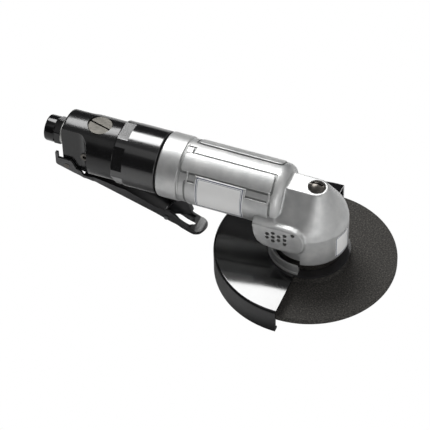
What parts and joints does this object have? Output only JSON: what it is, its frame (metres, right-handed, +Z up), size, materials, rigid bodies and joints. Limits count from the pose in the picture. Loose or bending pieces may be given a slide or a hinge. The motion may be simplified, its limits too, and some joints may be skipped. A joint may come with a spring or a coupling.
{
  "type": "air angle grinder",
  "caption": "Compressed-air angle grinder with a bevel-geared right-angle head, half guard, depressed-centre wheel and a sprung throttle lever with a safety latch.",
  "frame": {"origin": "middle of the bounding box at the lower edge of the guard's skirt, on which the grinder stands", "axes": "+Z up the spindle, +X along the body from the air inlet to the head, +Y to the left of that"},
  "size_m": [0.26, 0.1346, 0.0874],
  "materials": {
    "cast_silver": "fine sand-cast aluminium under silver lacquer, satin",
    "gloss_black": "smooth black enamel, glossy",
    "satin_black": "black oxide and oil on machined steel, satin",
    "bright_steel": "ground and turned steel",
    "dark_steel": "blackened steel, worn bright on its edges",
    "motor_iron": "ground cast iron",
    "brass": "turned brass",
    "seal_rubber": "black nitrile rubber, matt",
    "phenolic": "cloth-laminated phenolic, matt",
    "abrasive": "resin-bonded grit, coarse and matt",
    "label_white": "blank film label, semi-matt",
    "washer_pale": "pale moulded washer, matt"
  },
  "bodies": {
    "housing": {"main_housing": "cast_silver", "coupling_collar": "gloss_black", "collar_seal": "seal_rubber", "valve_housing": "satin_black", "inlet_bush": "gloss_black", "inlet_washer": "washer_pale", "inlet_screen": "brass", "valve_cap": "dark_steel", "cap_seal": "seal_rubber", "valve_seat": "brass", "valve_spring": "bright_steel", "cross_plug": "dark_steel", "lever_pin": "dark_steel", "motor_cylinder": "motor_iron", "rear_end_plate": "motor_iron", "front_end_plate": "motor_iron", "motor_spacer": "bright_steel", "rear_bearing_race": "bright_steel", "front_bearing_race": "bright_steel", "upper_bush": "brass", "bearing_cover": "dark_steel", "spindle_bearing_race": "bright_steel", "guard_ring": "dark_steel", "grease_plug": "dark_steel", "rating_plate": "label_white", "warning_label": "label_white"},
    "lever": {"throttle_lever": "satin_black", "latch_pin": "bright_steel", "latch_spring": "bright_steel"},
    "latch": {"safety_latch": "satin_black"},
    "valve": {"valve_stem": "brass", "stem_seal": "seal_rubber"},
    "rotor": {"rotor": "bright_steel", "vanes": "phenolic", "pinion": "bright_steel", "rear_bearing_balls": "bright_steel", "front_bearing_balls": "bright_steel"},
    "spindle": {"spindle": "bright_steel", "bevel_gear": "bright_steel", "gear_spacer": "bright_steel", "spindle_bearing_balls": "bright_steel", "inner_flange": "dark_steel", "grinding_wheel": "abrasive", "flange_nut": "dark_steel"},
    "guard": {"wheel_guard": "gloss_black", "guard_collar": "cast_silver", "guard_screws": "dark_steel"}
  },
  "joints": [
    {"name": "spindle_spin", "type": "hinge", "parent": "housing", "child": "spindle", "pos_m": [0.0675, 0, 0.02], "axis": [0, 0, 1], "continuous": true},
    {"name": "rotor_spin", "type": "hinge", "parent": "housing", "child": "rotor", "pos_m": [0, 0, 0.064], "axis": [1, 0, 0], "continuous": true},
    {"name": "lever_squeeze", "type": "hinge", "parent": "housing", "child": "lever", "pos_m": [-0.1112, 0, 0.0489], "axis": [0, -1, 0], "range_deg": [0, 7], "stiffness_Nm_per_rad": 1.5, "springref_deg": -5.73},
    {"name": "latch_fold", "type": "hinge", "parent": "lever", "child": "latch", "pos_m": [-0.0377, 0, 0.0185], "axis": [0, 1, 0], "range_deg": [0, 60.5]},
    {"name": "valve_lift", "type": "slide", "parent": "housing", "child": "valve", "axis": [0, 0, 1], "range_m": [0, 0.0029], "deforming": ["valve_spring"]},
    {"name": "guard_turn", "type": "hinge", "parent": "housing", "child": "guard", "pos_m": [0.0675, 0, 0.018], "axis": [0, 0, 1], "range_deg": [-60, 90]}
  ],
  "couplings": [
    {"joint": "rotor_spin", "follows": "spindle_spin", "ratio": -2.4545},
    {"joint": "latch_fold", "follows": "lever_squeeze", "ratio": 8.5714},
    {"joint": "valve_lift", "follows": "lever_squeeze", "m_per_rad": 0.0224}
  ]
}
